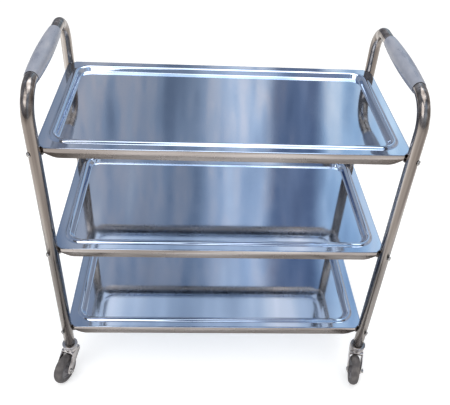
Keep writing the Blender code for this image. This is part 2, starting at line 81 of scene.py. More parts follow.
# What the polished steel sees of the room: pale walls with a dark doorway to the right, long
# folds of curtain, and a ceiling that darkens overhead.
ROOM_WALLS = [(0.00, (0.42, 0.45, 0.50)), (0.06, (0.84, 0.90, 0.97)), (0.115, (0.86, 0.91, 0.97)),
              (0.135, (0.24, 0.28, 0.37)), (0.20, (0.26, 0.31, 0.42)), (0.225, (0.74, 0.88, 0.98)),
              (0.36, (0.60, 0.80, 0.95)), (0.50, (0.62, 0.66, 0.72)), (0.90, (0.52, 0.50, 0.48))]
CURTAIN_TONES = [(0.36, (0.52, 0.58, 0.68)), (0.47, (0.80, 0.87, 0.96)), (0.53, (1.22, 1.08, 1.02)),
                 (0.58, (0.90, 0.93, 0.98)), (0.66, (1.30, 1.22, 1.16))]
CEILING_TONES = [(0.10, (0.66, 0.66, 0.68)), (0.36, (1.0, 1.0, 1.0)), (0.62, (0.84, 0.90, 0.98)),
                 (0.85, (0.62, 0.70, 0.82))]


def add_node(tree, kind, **inputs):
    """A shader node with its unlinked sockets set; spaces in their names are written as _."""
    made = tree.nodes.new(kind)
    for key, value in inputs.items():
        made.inputs[key.replace("_", " ")].default_value = value
    return made


def ramp_node(tree, source, stops):
    """A colour ramp over (position, colour) stops."""
    made = tree.nodes.new("ShaderNodeValToRGB")
    elements = made.color_ramp.elements
    while len(elements) < len(stops):
        elements.new(0.5)
    for element, (position, colour) in zip(elements, stops):
        element.position = position
        element.color = colour if len(colour) == 4 else (*colour, 1)
    tree.links.new(source, made.inputs["Fac"])
    return made


floor_shape = bmesh.new()
bmesh.ops.create_grid(floor_shape, x_segments=1, y_segments=1, size=FLOOR_SIZE / 2)
floor_mesh = bpy.data.meshes.new("floor")
floor_shape.to_mesh(floor_mesh)
floor_shape.free()
studio_floor = bpy.data.objects.new("floor", floor_mesh)
bpy.context.scene.collection.objects.link(studio_floor)

floor_paint = bpy.data.materials.new("floor_paint")
floor_paint.use_nodes = True
tree = floor_paint.node_tree
matt = tree.nodes["Principled BSDF"]
matt.inputs["Base Color"].default_value = FLOOR_COLOUR
matt.inputs["Roughness"].default_value = 0.9
matt.inputs["Specular IOR Level"].default_value = 0.1
glow = add_node(tree, "ShaderNodeEmission", Color=(1, 1, 1, 1), Strength=FLOOR_GLOW)
nothing = add_node(tree, "ShaderNodeEmission", Strength=0.0)
ray = tree.nodes.new("ShaderNodeLightPath")
seen = tree.nodes.new("ShaderNodeMath")
seen.operation = "MAXIMUM"
tree.links.new(ray.outputs["Is Camera Ray"], seen.inputs[0])
tree.links.new(ray.outputs["Is Glossy Ray"], seen.inputs[1])
only_seen = tree.nodes.new("ShaderNodeMixShader")
tree.links.new(seen.outputs[0], only_seen.inputs["Fac"])
tree.links.new(nothing.outputs[0], only_seen.inputs[1])
tree.links.new(glow.outputs[0], only_seen.inputs[2])
both = tree.nodes.new("ShaderNodeAddShader")
tree.links.new(matt.outputs[0], both.inputs[0])
tree.links.new(only_seen.outputs[0], both.inputs[1])
tree.links.new(both.outputs[0], tree.nodes["Material Output"].inputs["Surface"])
floor_mesh.materials.append(floor_paint)

world = bpy.data.worlds.new("room")
bpy.context.scene.world = world
world.use_nodes = True
tree = world.node_tree
room = tree.nodes["Background"]
room.inputs["Color"].default_value = ROOM_PALE
room.inputs["Strength"].default_value = ROOM_LIGHT
backdrop = add_node(tree, "ShaderNodeBackground", Color=(1, 1, 1, 1), Strength=1.0)
mirrored = add_node(tree, "ShaderNodeBackground", Strength=1.0)
direction = tree.nodes.new("ShaderNodeTexCoord")
parts = tree.nodes.new("ShaderNodeSeparateXYZ")
tree.links.new(direction.outputs["Generated"], parts.inputs[0])
wall_tone = ramp_node(tree, parts.outputs["X"], ROOM_WALLS)
folds = add_node(tree, "ShaderNodeMapping", Scale=(26.0, 5.0, 0.7))
tree.links.new(direction.outputs["Generated"], folds.inputs["Vector"])
curtain = add_node(tree, "ShaderNodeTexNoise", Scale=1.0, Detail=3.0, Roughness=0.6)
tree.links.new(folds.outputs["Vector"], curtain.inputs["Vector"])
curtain_tone = ramp_node(tree, curtain.outputs["Fac"], CURTAIN_TONES)
ceiling_tone = ramp_node(tree, parts.outputs["Z"], CEILING_TONES)
hung = tree.nodes.new("ShaderNodeMix")
hung.data_type = "RGBA"
hung.blend_type = "MULTIPLY"
hung.inputs["Factor"].default_value = 1.0
tree.links.new(wall_tone.outputs["Color"], hung.inputs["A"])
tree.links.new(curtain_tone.outputs["Color"], hung.inputs["B"])
lit = tree.nodes.new("ShaderNodeMix")
lit.data_type = "RGBA"
lit.blend_type = "MULTIPLY"
lit.inputs["Factor"].default_value = 1.0
tree.links.new(hung.outputs["Result"], lit.inputs["A"])
tree.links.new(ceiling_tone.outputs["Color"], lit.inputs["B"])
tree.links.new(lit.outputs["Result"], mirrored.inputs["Color"])
ray = tree.nodes.new("ShaderNodeLightPath")
for_mirrors = tree.nodes.new("ShaderNodeMixShader")
for_camera = tree.nodes.new("ShaderNodeMixShader")
tree.links.new(ray.outputs["Is Glossy Ray"], for_mirrors.inputs["Fac"])
tree.links.new(room.outputs[0], for_mirrors.inputs[1])
tree.links.new(mirrored.outputs[0], for_mirrors.inputs[2])
tree.links.new(ray.outputs["Is Camera Ray"], for_camera.inputs["Fac"])
tree.links.new(for_mirrors.outputs[0], for_camera.inputs[1])
tree.links.new(backdrop.outputs[0], for_camera.inputs[2])
tree.links.new(for_camera.outputs[0], tree.nodes["World Output"].inputs["Surface"])

SOFT_BOXES = {
    "front_box": ((-1.1, -1.4, 2.4), 1.6, 20.0),
    "top_box": ((0.3, 0.2, 3.0), 2.0, 30.0),
}
for name, (place, size, power) in SOFT_BOXES.items():
    lamp = bpy.data.lights.new(name, "AREA")
    lamp.size = size
    lamp.energy = power
    box = bpy.data.objects.new(name, lamp)
    bpy.context.scene.collection.objects.link(box)
    box.location = place
    towards = Vector((0, 0, 0.4)) - box.location
    box.rotation_euler = towards.to_track_quat("-Z", "Y").to_euler()


# ---------------------------------------------------------------- trays
# Each tray is one pressed sheet of polished stainless steel: a flat floor, sloping walls, a
# rolled bead round the recess and a level rim. Its skirt is folded down, and at the corners
# the skirt's ends are cut back and rounded beside a bolted tongue.

STEEL_SHEET = 0.001
SKIRT_DEPTH = 0.022
SKIRT_END_DEPTH = 0.011
SKIRT_END_LENGTH = 0.020
SKIRT_END_ROUNDING = 0.0085
SKIRT_FOLD = 0.0016
TONGUE_DEPTH = 0.020
TONGUE_INSET = 0.006
CORNER_CUT = 0.01776
RIM_WIDTH = 0.018
BEAD_WIDTH = 0.014
BEAD_HEIGHT = 0.004
BEAD_CORNER = 0.040
BEAD_FOOT_ROUNDING = 0.0015
FLOOR_CORNER = 0.020
RECESS_DEPTH = 0.008
WALL_SLOPE = radians(60)
WALL_FILLET = 0.004
CORNER_STEPS = 14
RIM_EDGE_MARGIN = 0.0035
FLAT_MARGIN = 0.001
LOOP_SPACING = 0.004


def new_piece(name, shape, *materials):
    """A finished mesh piece at the origin, smooth except at its sharp edges."""
    mesh = bpy.data.meshes.new(name)
    shape.to_mesh(mesh)
    shape.free()
    mesh.shade_smooth()
    mesh.set_sharp_from_angle(angle=radians(32))
    for material in materials:
        mesh.materials.append(material)
    piece = bpy.data.objects.new(name, mesh)
    bpy.context.scene.collection.objects.link(piece)
    return piece


def corner_rounded_loop(shape, length, width, corner, steps, height):
    """The edges of one level rectangle whose corners are rounded, or cut where steps is 1."""
    spread = Matrix.Translation((0, 0, height)) @ Matrix.Diagonal((length, width, 1, 1))
    blank = bmesh.ops.create_grid(shape, x_segments=1, y_segments=1, size=0.5, matrix=spread)
    before = set(shape.edges) - set(blank["verts"][0].link_faces[0].edges)
    bmesh.ops.bevel(shape, geom=blank["verts"], offset=corner, offset_type="OFFSET", affect="VERTICES",
                    segments=steps, profile=0.5, material=-1)
    edges = [edge for edge in shape.edges if edge not in before]
    bmesh.ops.delete(shape, geom=edges[0].link_faces[:], context="FACES_ONLY")
    return edges


def arc_points(centre, radius, start, end, steps):
    """Points along an arc in the plane of (inset, height), ends included."""
    turns = [start + (end - start) * step / steps for step in range(steps + 1)]
    return [(centre[0] + radius * cos(t), centre[1] + radius * sin(t)) for t in turns]


def pressed_section():
    """(inset, height) from the rim over the bead and down the wall to the floor."""
    half = BEAD_WIDTH / 2
    crown = (half ** 2 + BEAD_HEIGHT ** 2) / (2 * BEAD_HEIGHT)
    bead_middle = (RIM_WIDTH + half, BEAD_HEIGHT - crown)
    bead = arc_points(bead_middle, crown, pi / 2 + asin(half / crown), pi / 2 - WALL_SLOPE, 10)
    wall_foot = bead[-1][0] + (bead[-1][1] + RECESS_DEPTH) / tan(WALL_SLOPE)
    tangent = WALL_FILLET * tan(WALL_SLOPE / 2)
    fillet_middle = (wall_foot + tangent, WALL_FILLET - RECESS_DEPTH)
    fillet = arc_points(fillet_middle, WALL_FILLET, 3 * pi / 2 - WALL_SLOPE, 3 * pi / 2, 12)
    rim = (RIM_WIDTH - BEAD_FOOT_ROUNDING - FLAT_MARGIN, 0.0)
    bead_foot = [(RIM_WIDTH - BEAD_FOOT_ROUNDING, 0.0), (RIM_WIDTH + BEAD_FOOT_ROUNDING * 0.4, 0.0007)]
    floor = [(fillet[-1][0] + FLAT_MARGIN, -RECESS_DEPTH), (fillet[-1][0] + 2 * FLAT_MARGIN, -RECESS_DEPTH)]
    return [rim] + bead_foot + bead[2:] + fillet + floor


def tray_shape(low, high):
    """One tray inside the box of its CAD node."""
    length, width = high.x - low.x, high.y - low.y
    middle = (low + high) / 2
    rim_height = high.z - BEAD_HEIGHT
    shape = bmesh.new()
    rim_edge = (RIM_EDGE_MARGIN, CORNER_CUT - RIM_EDGE_MARGIN * (2 - sqrt(2)), 1, 0.0)
    steps = [(0.0, CORNER_CUT, 1, 0.0), rim_edge]
    for inset, height in pressed_section():
        steps.append((inset, max(FLOOR_CORNER, BEAD_CORNER - (inset - RIM_WIDTH)), CORNER_STEPS, height))
    loops = []
    for order, (inset, corner, cuts, height) in enumerate(steps):
        loops.append(corner_rounded_loop(shape, length - 2 * inset, width - 2 * inset, corner, cuts,
                                         -order * LOOP_SPACING))
    for outer, inner in zip(loops, loops[1:]):
        bmesh.ops.bridge_loops(shape, edges=outer + inner)
    bmesh.ops.contextual_create(shape, geom=loops[-1])
    for loop, (inset, corner, cuts, height) in zip(loops, steps):
        for vert in {vert for edge in loop for vert in edge.verts}:
            vert.co.z = height

    skirt_top = [edge for edge in shape.edges if edge.is_boundary]
    drop = bmesh.ops.extrude_edge_only(shape, edges=skirt_top)["geom"]
    lowered = [part for part in drop if isinstance(part, bmesh.types.BMVert)]
    bmesh.ops.translate(shape, verts=lowered, vec=(0, 0, -SKIRT_END_DEPTH))
    flap_tops = [part for part in drop if isinstance(part, bmesh.types.BMEdge)
                 and all(end in lowered for end in part.verts)]
    for top in flap_tops:
        is_tongue = top.calc_length() < CORNER_CUT * 2
        inset = TONGUE_INSET if is_tongue else SKIRT_END_LENGTH
        depth = (TONGUE_DEPTH if is_tongue else SKIRT_DEPTH) - SKIRT_END_DEPTH
        along = (top.verts[1].co - top.verts[0].co).normalized()
        flap = bmesh.ops.extrude_edge_only(shape, edges=[top])["geom"]
        ends = [part for part in flap if isinstance(part, bmesh.types.BMVert)]
        for end in ends:
            nearer_start = (end.co - top.verts[0].co).length < (end.co - top.verts[1].co).length
            end.co += along * (inset if nearer_start else -inset) + Vector((0, 0, -depth))
        bmesh.ops.bevel(shape, geom=ends, offset=min(SKIRT_END_ROUNDING, inset * 0.7), offset_type="OFFSET",
                        affect="VERTICES", segments=6, profile=0.5, material=-1)
    folds = [edge for edge in shape.edges if len(edge.link_faces) == 2
             and abs(edge.verts[0].co.z) < 1e-6 and abs(edge.verts[1].co.z) < 1e-6
             and edge.calc_face_angle(0) > 1]
    bmesh.ops.bevel(shape, geom=folds, offset=SKIRT_FOLD, offset_type="OFFSET", affect="EDGES", segments=3,
                    profile=0.5, material=-1)
    bmesh.ops.recalc_face_normals(shape, faces=shape.faces[:])
    widest = max(shape.faces, key=lambda face: face.calc_area())
    if widest.normal.z < 0:
        bmesh.ops.reverse_faces(shape, faces=shape.faces[:])
    # The upright outer faces of the skirt take the second, darker brown material: painted reflection of the
    # ground.
    for face in shape.faces:
        face.material_index = 1 if abs(face.normal.z) < 0.3 and face.calc_center_median().z < -0.001 and (
            abs(face.calc_center_median().x) > length / 2 - CORNER_CUT or
            abs(face.calc_center_median().y) > width / 2 - CORNER_CUT) else 0
    bmesh.ops.translate(shape, verts=shape.verts[:], vec=(middle.x, middle.y, rim_height))
    return shape


def steel(name, tones, roughness, streak_scale, streak_strength, bump=0.02):
    """Polished stainless steel. The three tones drift in bands; fine brushing runs along the
    direction that streak_scale stretches; smears change its gloss."""
    made = bpy.data.materials.new(name)
    made.use_nodes = True
    tree = made.node_tree
    shader = tree.nodes["Principled BSDF"]
    shader.inputs["Metallic"].default_value = 1.0
    place = tree.nodes.new("ShaderNodeTexCoord")
    stretch = add_node(tree, "ShaderNodeMapping", Scale=streak_scale)
    tree.links.new(place.outputs["Object"], stretch.inputs["Vector"])
    bands = add_node(tree, "ShaderNodeTexNoise", Scale=1.0, Detail=2.0, Roughness=0.45)
    tree.links.new(stretch.outputs["Vector"], bands.inputs["Vector"])
    # The banded tones are painted into the base colour; on the tray and its skirt they are painted
    # reflection.
    colour = ramp_node(tree, bands.outputs["Fac"], tones)
    tree.links.new(colour.outputs["Color"], shader.inputs["Base Color"])
    smears = add_node(tree, "ShaderNodeTexNoise", Scale=14.0, Detail=6.0, Roughness=0.6)
    tree.links.new(place.outputs["Object"], smears.inputs["Vector"])
    polished, dulled = (roughness * 0.75,) * 3, (roughness * 1.6,) * 3
    gloss = ramp_node(tree, smears.outputs["Fac"], [(0.35, polished), (0.7, dulled)])
    tree.links.new(gloss.outputs["Color"], shader.inputs["Roughness"])
    fine = add_node(tree, "ShaderNodeMapping", Scale=[value * streak_strength for value in streak_scale])
    tree.links.new(place.outputs["Object"], fine.inputs["Vector"])
    brushing = add_node(tree, "ShaderNodeTexNoise", Scale=1.0, Detail=3.0)
    tree.links.new(fine.outputs["Vector"], brushing.inputs["Vector"])
    relief = add_node(tree, "ShaderNodeBump", Strength=bump, Distance=0.0004)
    tree.links.new(brushing.outputs["Fac"], relief.inputs["Height"])
    tree.links.new(relief.outputs["Normal"], shader.inputs["Normal"])
    return made


# The tray's tones are steel grey with painted reflection: their blue tint is painted sky, and their soft
# light and dark bands are painted reflections of the room.
TRAY_TONES_WITH_PAINTED_REFLECTIONS = [(0.30, (0.40, 0.475, 0.59)), (0.45, (0.49, 0.57, 0.69)), (0.56, (0.55, 0.63, 0.75)),
              (0.70, (0.70, 0.745, 0.83))]
# The skirt is the same steel as the tray, given a darker brown copy of it: painted reflection of the ground
# on its upright faces.
SKIRT_PAINTED_REFLECTION_TONES = [(0.30, (0.22, 0.19, 0.17)), (0.52, (0.36, 0.32, 0.30)), (0.70, (0.52, 0.48, 0.46))]
tray_steel = steel("tray_steel", TRAY_TONES_WITH_PAINTED_REFLECTIONS, 0.055, (9.0, 0.9, 1.0), 60.0)
skirt_steel_painted_reflection = steel("skirt_steel_painted_reflection", SKIRT_PAINTED_REFLECTION_TONES, 0.24, (4.0, 4.0, 60.0), 12.0)

for level in ("top", "middle", "bottom"):
    tray = new_piece(f"{level}_tray_sheet", tray_shape(*map(Vector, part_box(f"tray_{level}"))),
                     tray_steel, skirt_steel_painted_reflection)
    sheet = tray.modifiers.new("sheet", "SOLIDIFY")
    sheet.thickness = STEEL_SHEET
    sheet.offset = -1
    sheet.use_even_offset = True
    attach(tray, "root")
    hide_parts(f"tray_{level}")


# ---------------------------------------------------------------- end frames
# Each end frame is one round stainless tube, bent twice on a former into an upside-down U.
# Its lower ends stay open, and each takes the plug of a caster.

TUBE_RADIUS = 0.0125
TUBE_WALL = 0.0012
BEND_RADIUS = 0.060
TUBE_SIDES = 40
BEND_STEPS = 18

TUBE_TONES = [(0.30, (0.15, 0.125, 0.11)), (0.44, (0.25, 0.215, 0.19)), (0.56, (0.33, 0.29, 0.26)),
              (0.72, (0.60, 0.55, 0.51))]
tube_steel = steel("tube_steel", TUBE_TONES, 0.17, (85.0, 85.0, 2.2), 10.0)


def tube_shape(low, high):
    """The bent tube inside the box of its CAD node, as one swept wall."""
    x = (low.x + high.x) / 2
    leg = high.y - TUBE_RADIUS
    bend_height = high.z - TUBE_RADIUS - BEND_RADIUS
    shape = bmesh.new()
    foot = Matrix.Translation((x, -leg, low.z))
    ring = bmesh.ops.create_circle(shape, cap_ends=False, segments=TUBE_SIDES, radius=TUBE_RADIUS,
                                   matrix=foot)
    edges = list({edge for vert in ring["verts"] for edge in vert.link_edges})

    def run(edges, way):
        made = bmesh.ops.extrude_edge_only(shape, edges=edges)["geom"]
        ends = [part for part in made if isinstance(part, bmesh.types.BMVert)]
        bmesh.ops.translate(shape, verts=ends, vec=way)
        return [part for part in made if isinstance(part, bmesh.types.BMEdge)
                and part.verts[0] in ends and part.verts[1] in ends]

    def bend(edges, middle_y):
        ends = {vert for edge in edges for vert in edge.verts}
        made = bmesh.ops.spin(shape, geom=edges + list(ends), cent=(x, middle_y, bend_height),
                              axis=(-1, 0, 0), dvec=(0, 0, 0), angle=pi / 2, steps=BEND_STEPS,
                              use_duplicate=False)
        return [part for part in made["geom_last"] if isinstance(part, bmesh.types.BMEdge)]

    edges = run(edges, (0, 0, bend_height - low.z))
    edges = bend(edges, BEND_RADIUS - leg)
    edges = run(edges, (0, 2 * (leg - BEND_RADIUS), 0))
    edges = bend(edges, leg - BEND_RADIUS)
    run(edges, (0, 0, low.z - bend_height))
    bmesh.ops.remove_doubles(shape, verts=shape.verts[:], dist=1e-6)
    bmesh.ops.recalc_face_normals(shape, faces=shape.faces[:])
    return shape


for side in ("left", "right"):
    tube = new_piece(f"{side}_end_tube", tube_shape(*map(Vector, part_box(f"frame_{side}"))), tube_steel)
    wall = tube.modifiers.new("wall", "SOLIDIFY")
    wall.thickness = TUBE_WALL
    wall.offset = -1
    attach(tube, "root")
    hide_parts(f"frame_{side}")


# ---------------------------------------------------------------- grips
# A barrel-shaped sleeve of satin grey plastic is pushed over each crossbar. Its ends are
# turned in to a thin lip, which leaves a dark line against the tube.

GRIP_END_RADIUS = 0.0140
GRIP_LIP = 0.0012
GRIP_SIDES = 56
GRIP_STEPS = 20


def turned(section, sides, closed=False):
    """Turn (radius, height) points about Z; a closed section makes a ring with a bore."""
    shape = bmesh.new()
    points = [shape.verts.new((radius, 0, height)) for radius, height in section]
    edges = [shape.edges.new(pair) for pair in zip(points, points[1:])]
    if closed:
        edges.append(shape.edges.new((points[-1], points[0])))
    bmesh.ops.spin(shape, geom=points + edges, cent=(0, 0, 0), axis=(0, 0, 1), dvec=(0, 0, 0), angle=2 * pi,
                   steps=sides, use_merge=True, use_duplicate=False)
    bmesh.ops.remove_doubles(shape, verts=shape.verts[:], dist=1e-7)
    bmesh.ops.recalc_face_normals(shape, faces=shape.faces[:])
    return shape


def moulded(name, tones, roughness, grain_scale, grain, tone_scale=(30.0, 30.0, 30.0)):
    """Moulded plastic or rubber: tones drift with handling, and a fine grain roughens it."""
    made = bpy.data.materials.new(name)
    made.use_nodes = True
    tree = made.node_tree
    shader = tree.nodes["Principled BSDF"]
    place = tree.nodes.new("ShaderNodeTexCoord")
    stretch = add_node(tree, "ShaderNodeMapping", Scale=tone_scale)
    tree.links.new(place.outputs["Object"], stretch.inputs["Vector"])
    stains = add_node(tree, "ShaderNodeTexNoise", Scale=1.0, Detail=5.0, Roughness=0.6)
    tree.links.new(stretch.outputs["Vector"], stains.inputs["Vector"])
    colour = ramp_node(tree, stains.outputs["Fac"], tones)
    tree.links.new(colour.outputs["Color"], shader.inputs["Base Color"])
    handled, clean = (roughness * 0.85,) * 3, (roughness * 1.1,) * 3
    gloss = ramp_node(tree, stains.outputs["Fac"], [(0.3, handled), (0.7, clean)])
    tree.links.new(gloss.outputs["Color"], shader.inputs["Roughness"])
    pores = add_node(tree, "ShaderNodeTexNoise", Scale=grain_scale, Detail=4.0)
    tree.links.new(place.outputs["Object"], pores.inputs["Vector"])
    relief = add_node(tree, "ShaderNodeBump", Strength=grain, Distance=0.0005)
    tree.links.new(pores.outputs["Fac"], relief.inputs["Height"])
    tree.links.new(relief.outputs["Normal"], shader.inputs["Normal"])
    return made


GRIP_TONES = [(0.30, (0.20, 0.22, 0.28)), (0.50, (0.29, 0.31, 0.37)), (0.72, (0.40, 0.40, 0.44))]
grip_plastic = moulded("grip_plastic", GRIP_TONES, 0.30, 900.0, 0.12, (40.0, 12.0, 40.0))

for side in ("left", "right"):
    low, high = map(Vector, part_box(f"grip_{side}"))
    length = high.y - low.y
    swell = (high.z - low.z) / 2 - GRIP_END_RADIUS
    bore = TUBE_RADIUS + 0.0003
    section = [(bore, 0.0), (GRIP_END_RADIUS - GRIP_LIP * 0.6, 0.0), (GRIP_END_RADIUS, GRIP_LIP * 0.6)]
    for step in range(1, GRIP_STEPS):
        share = step / GRIP_STEPS
        section.append((GRIP_END_RADIUS + swell * (1 - (2 * share - 1) ** 2), length * share))
    section += [(GRIP_END_RADIUS, length - GRIP_LIP * 0.6), (GRIP_END_RADIUS - GRIP_LIP * 0.6, length),
                (bore, length)]
    shape = turned(section, GRIP_SIDES, closed=True)
    lay_down = Matrix.Translation(((low.x + high.x) / 2, low.y, (low.z + high.z) / 2))
    bmesh.ops.transform(shape, matrix=lay_down @ Matrix.Rotation(-pi / 2, 4, "X"), verts=shape.verts[:])
    sleeve = new_piece(f"{side}_grip_sleeve", shape, grip_plastic)
    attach(sleeve, "root")
    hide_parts(f"grip_{side}")


# ---------------------------------------------------------------- tray bolts and nuts
# Domed bolts go through each leg and the tray's tongue behind it, on the corner's diagonal.
# A plain hexagon nut holds each one from inside the skirt.

BOLT_RADIUS = 0.003
BOLT_HEAD_RADIUS = 0.0055
BOLT_HEAD_HEIGHT = 0.0036
BOLT_SHANK = 0.0334
BOLT_SIDES = 28
NUT_FLATS = 0.010
NUT_THICKNESS = 0.005
NUT_CHAMFER = 0.0006

bolt_steel = steel("bolt_steel", [(0.30, (0.24, 0.23, 0.22)), (0.70, (0.55, 0.53, 0.51))], 0.22,
                   (180.0, 180.0, 180.0), 3.0)


def bolt_shape(shank):
    """A domed head above z = 0 with a rounded rim, and a shank of a given length below."""
    rim = BOLT_HEAD_HEIGHT * 0.25
    dome = [(BOLT_HEAD_RADIUS * sin(pi / 2 * k / 7), rim + (BOLT_HEAD_HEIGHT - rim) * cos(pi / 2 * k / 7))
            for k in range(8)]
    end = BOLT_RADIUS * 0.8
    section = [*dome, (BOLT_HEAD_RADIUS, rim * 0.3), (BOLT_HEAD_RADIUS - rim * 0.3, 0), (BOLT_RADIUS, 0),
               (BOLT_RADIUS, end - shank), (end, -shank), (0, -shank)]
    return turned(section, BOLT_SIDES)


def nut_shape():
    """A hexagon nut on z = 0, with its corners turned off top and bottom."""
    shape = bmesh.new()
    corner = NUT_FLATS / 2 / cos(pi / 6)
    loops = []
    bore = BOLT_RADIUS * 1.05
    face = corner * 0.9
    for radius, height, sides in ((bore, 0, 24), (face, 0, 24), (corner, NUT_CHAMFER, 6),
                                  (corner, NUT_THICKNESS - NUT_CHAMFER, 6), (face, NUT_THICKNESS, 24),
                                  (bore, NUT_THICKNESS, 24)):
        ring = bmesh.ops.create_circle(shape, cap_ends=False, segments=sides, radius=radius,
                                       matrix=Matrix.Translation((0, 0, height)))
        loops.append(list({edge for vert in ring["verts"] for edge in vert.link_edges}))
    for near, far in zip(loops, loops[1:] + loops[:1]):
        bmesh.ops.bridge_loops(shape, edges=near + far)
    bmesh.ops.recalc_face_normals(shape, faces=shape.faces[:])
    return shape


def stand_along(shape, base, way):
    """Turn a shape's Z to a direction and move its origin to a point."""
    turn = way.to_track_quat("Z", "Y").to_matrix().to_4x4()
    bmesh.ops.transform(shape, matrix=Matrix.Translation(base) @ turn, verts=shape.verts[:])


for level in ("top", "middle", "bottom"):
    for end in ("front", "rear"):
        for side in ("left", "right"):
            corner = f"{level}_{end}_{side}"
            low, high = map(Vector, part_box(f"bolt_{corner}"))
            outward = Vector((1 if side == "right" else -1, 1 if end == "rear" else -1, 0)).normalized()
            height = (low.z + high.z) / 2
            leg_x = (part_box(f"frame_{side}")[0][0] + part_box(f"frame_{side}")[1][0]) / 2
            leg_y = outward.y / abs(outward.y) * (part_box(f"frame_{side}")[1][1] - TUBE_RADIUS)
            leg = Vector((leg_x, leg_y, height))
            seat = leg + outward * (TUBE_RADIUS + 0.0001)
            shape = bolt_shape(BOLT_SHANK)
            stand_along(shape, seat, outward)
            bolt = new_piece(f"tray_bolt_{corner}", shape, bolt_steel)
            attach(bolt, "root")
            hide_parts(f"bolt_{corner}")
            shape = nut_shape()
            stand_along(shape, leg - outward * (TUBE_RADIUS + 0.0014), -outward)
            nut = new_piece(f"tray_nut_{corner}", shape, bolt_steel)
            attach(nut, "root")
            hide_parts(f"nut_{corner}")

# ---------------------------------------------------------------- caster plugs and stems
# A black plastic plug closes each leg's end. The caster's steel stem goes up through it, and
# its wide upper cup turns on the fork's race, held by a riveted king pin.

PLUG_FLANGE = 0.0017
PLUG_BODY_RADIUS = 0.0107
STEM_RADIUS = 0.005
UPPER_CUP_RADIUS = 0.019
KING_PIN_RADIUS = 0.004
KING_PIN_HEAD_RADIUS = 0.007
KING_PIN_HEAD = 0.003
ROUND_SIDES = 48

plug_black = moulded("plug_black", [(0.3, (0.018, 0.018, 0.019)), (0.7, (0.05, 0.05, 0.05))], 0.5, 700.0, 0.2)
PLATING_TONES = [(0.30, (0.26, 0.24, 0.23)), (0.50, (0.44, 0.41, 0.40)), (0.70, (0.64, 0.61, 0.60))]
fork_plating = steel("fork_plating", PLATING_TONES, 0.22, (34.0, 34.0, 24.0), 4.0, 0.015)

CASTER_CORNERS = ("front_left", "front_right", "rear_left", "rear_right")
joints = {joint["name"]: joint for joint in frame["joints"]}

for corner in CASTER_CORNERS:
    leg = Vector(joints[f"swivel_{corner}"]["pos_m"])
    leg.z = 0
    low, high = map(Vector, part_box(f"tube_plug_{corner}"))
    under = low.z + PLUG_FLANGE
    lip = PLUG_FLANGE * 0.3
    section = [(STEM_RADIUS + 0.0003, high.z), (PLUG_BODY_RADIUS - lip, high.z),
               (PLUG_BODY_RADIUS, high.z - lip),
               (PLUG_BODY_RADIUS, under), (TUBE_RADIUS - lip, under), (TUBE_RADIUS, under - lip),
               (TUBE_RADIUS, low.z + lip), (TUBE_RADIUS - lip, low.z), (STEM_RADIUS + 0.0003, low.z)]
    shape = turned(section, ROUND_SIDES, closed=True)
    bmesh.ops.translate(shape, verts=shape.verts[:], vec=leg)
    plug = new_piece(f"leg_plug_{corner}", shape, plug_black)
    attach(plug, "root")
    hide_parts(f"tube_plug_{corner}")

    fork_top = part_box(f"fork_{corner}")[1][2]
    stem_low, stem_high = map(Vector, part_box(f"caster_stem_{corner}"))
    cup_low = fork_top + 0.0003
    cup_high = low.z - 0.0003
    cup = cup_high - cup_low
    roll = arc_points((UPPER_CUP_RADIUS - cup * 0.38, cup_high - cup * 0.40), cup * 0.38, pi / 2, -pi / 2, 10)
    head_high = stem_low.z + KING_PIN_HEAD
    section = [(0, stem_high.z), (STEM_RADIUS * 0.8, stem_high.z), (STEM_RADIUS, stem_high.z - 0.001),
               (STEM_RADIUS, cup_high), (0.0135, cup_high), *roll, (UPPER_CUP_RADIUS - cup * 0.45, cup_low),
               (KING_PIN_RADIUS, cup_low), (KING_PIN_RADIUS, head_high), (KING_PIN_HEAD_RADIUS, head_high),
               (KING_PIN_HEAD_RADIUS * 0.75, stem_low.z), (0, stem_low.z)]
    shape = turned(section, ROUND_SIDES)
    bmesh.ops.translate(shape, verts=shape.verts[:], vec=leg)
    stem = new_piece(f"swivel_stem_{corner}", shape, fork_plating)
    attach(stem, "root")
    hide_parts(f"caster_stem_{corner}")


# ---------------------------------------------------------------- caster forks
# Each fork is pressed from bright plated sheet: a square crown with short lips, two sides
# that sweep back to the axle, and a round race cup on top that turns under the stem's cup.

FORK_WIDTH = 0.034
FORK_SHEET = 0.002
CROWN_REACH = 0.017
CROWN_HEIGHT = 0.084
CROWN_LIP = 0.008
CROWN_BEND = 0.0035
EAR_RADIUS = 0.009
RACE_RADIUS = 0.018


def caster_place(corner):
    """Matrix from a caster's own axes (X along the axle, trail along -Y) to the trolley."""
    leg = Vector(joints[f"swivel_{corner}"]["pos_m"])
    across = Vector(joints[f"roll_{corner}"]["axis"]).normalized()
    up = Vector((0, 0, 1))
    back = up.cross(across)
    turn = Matrix((across, back, up)).transposed().to_4x4()
    return Matrix.Translation((leg.x, leg.y, 0)) @ turn


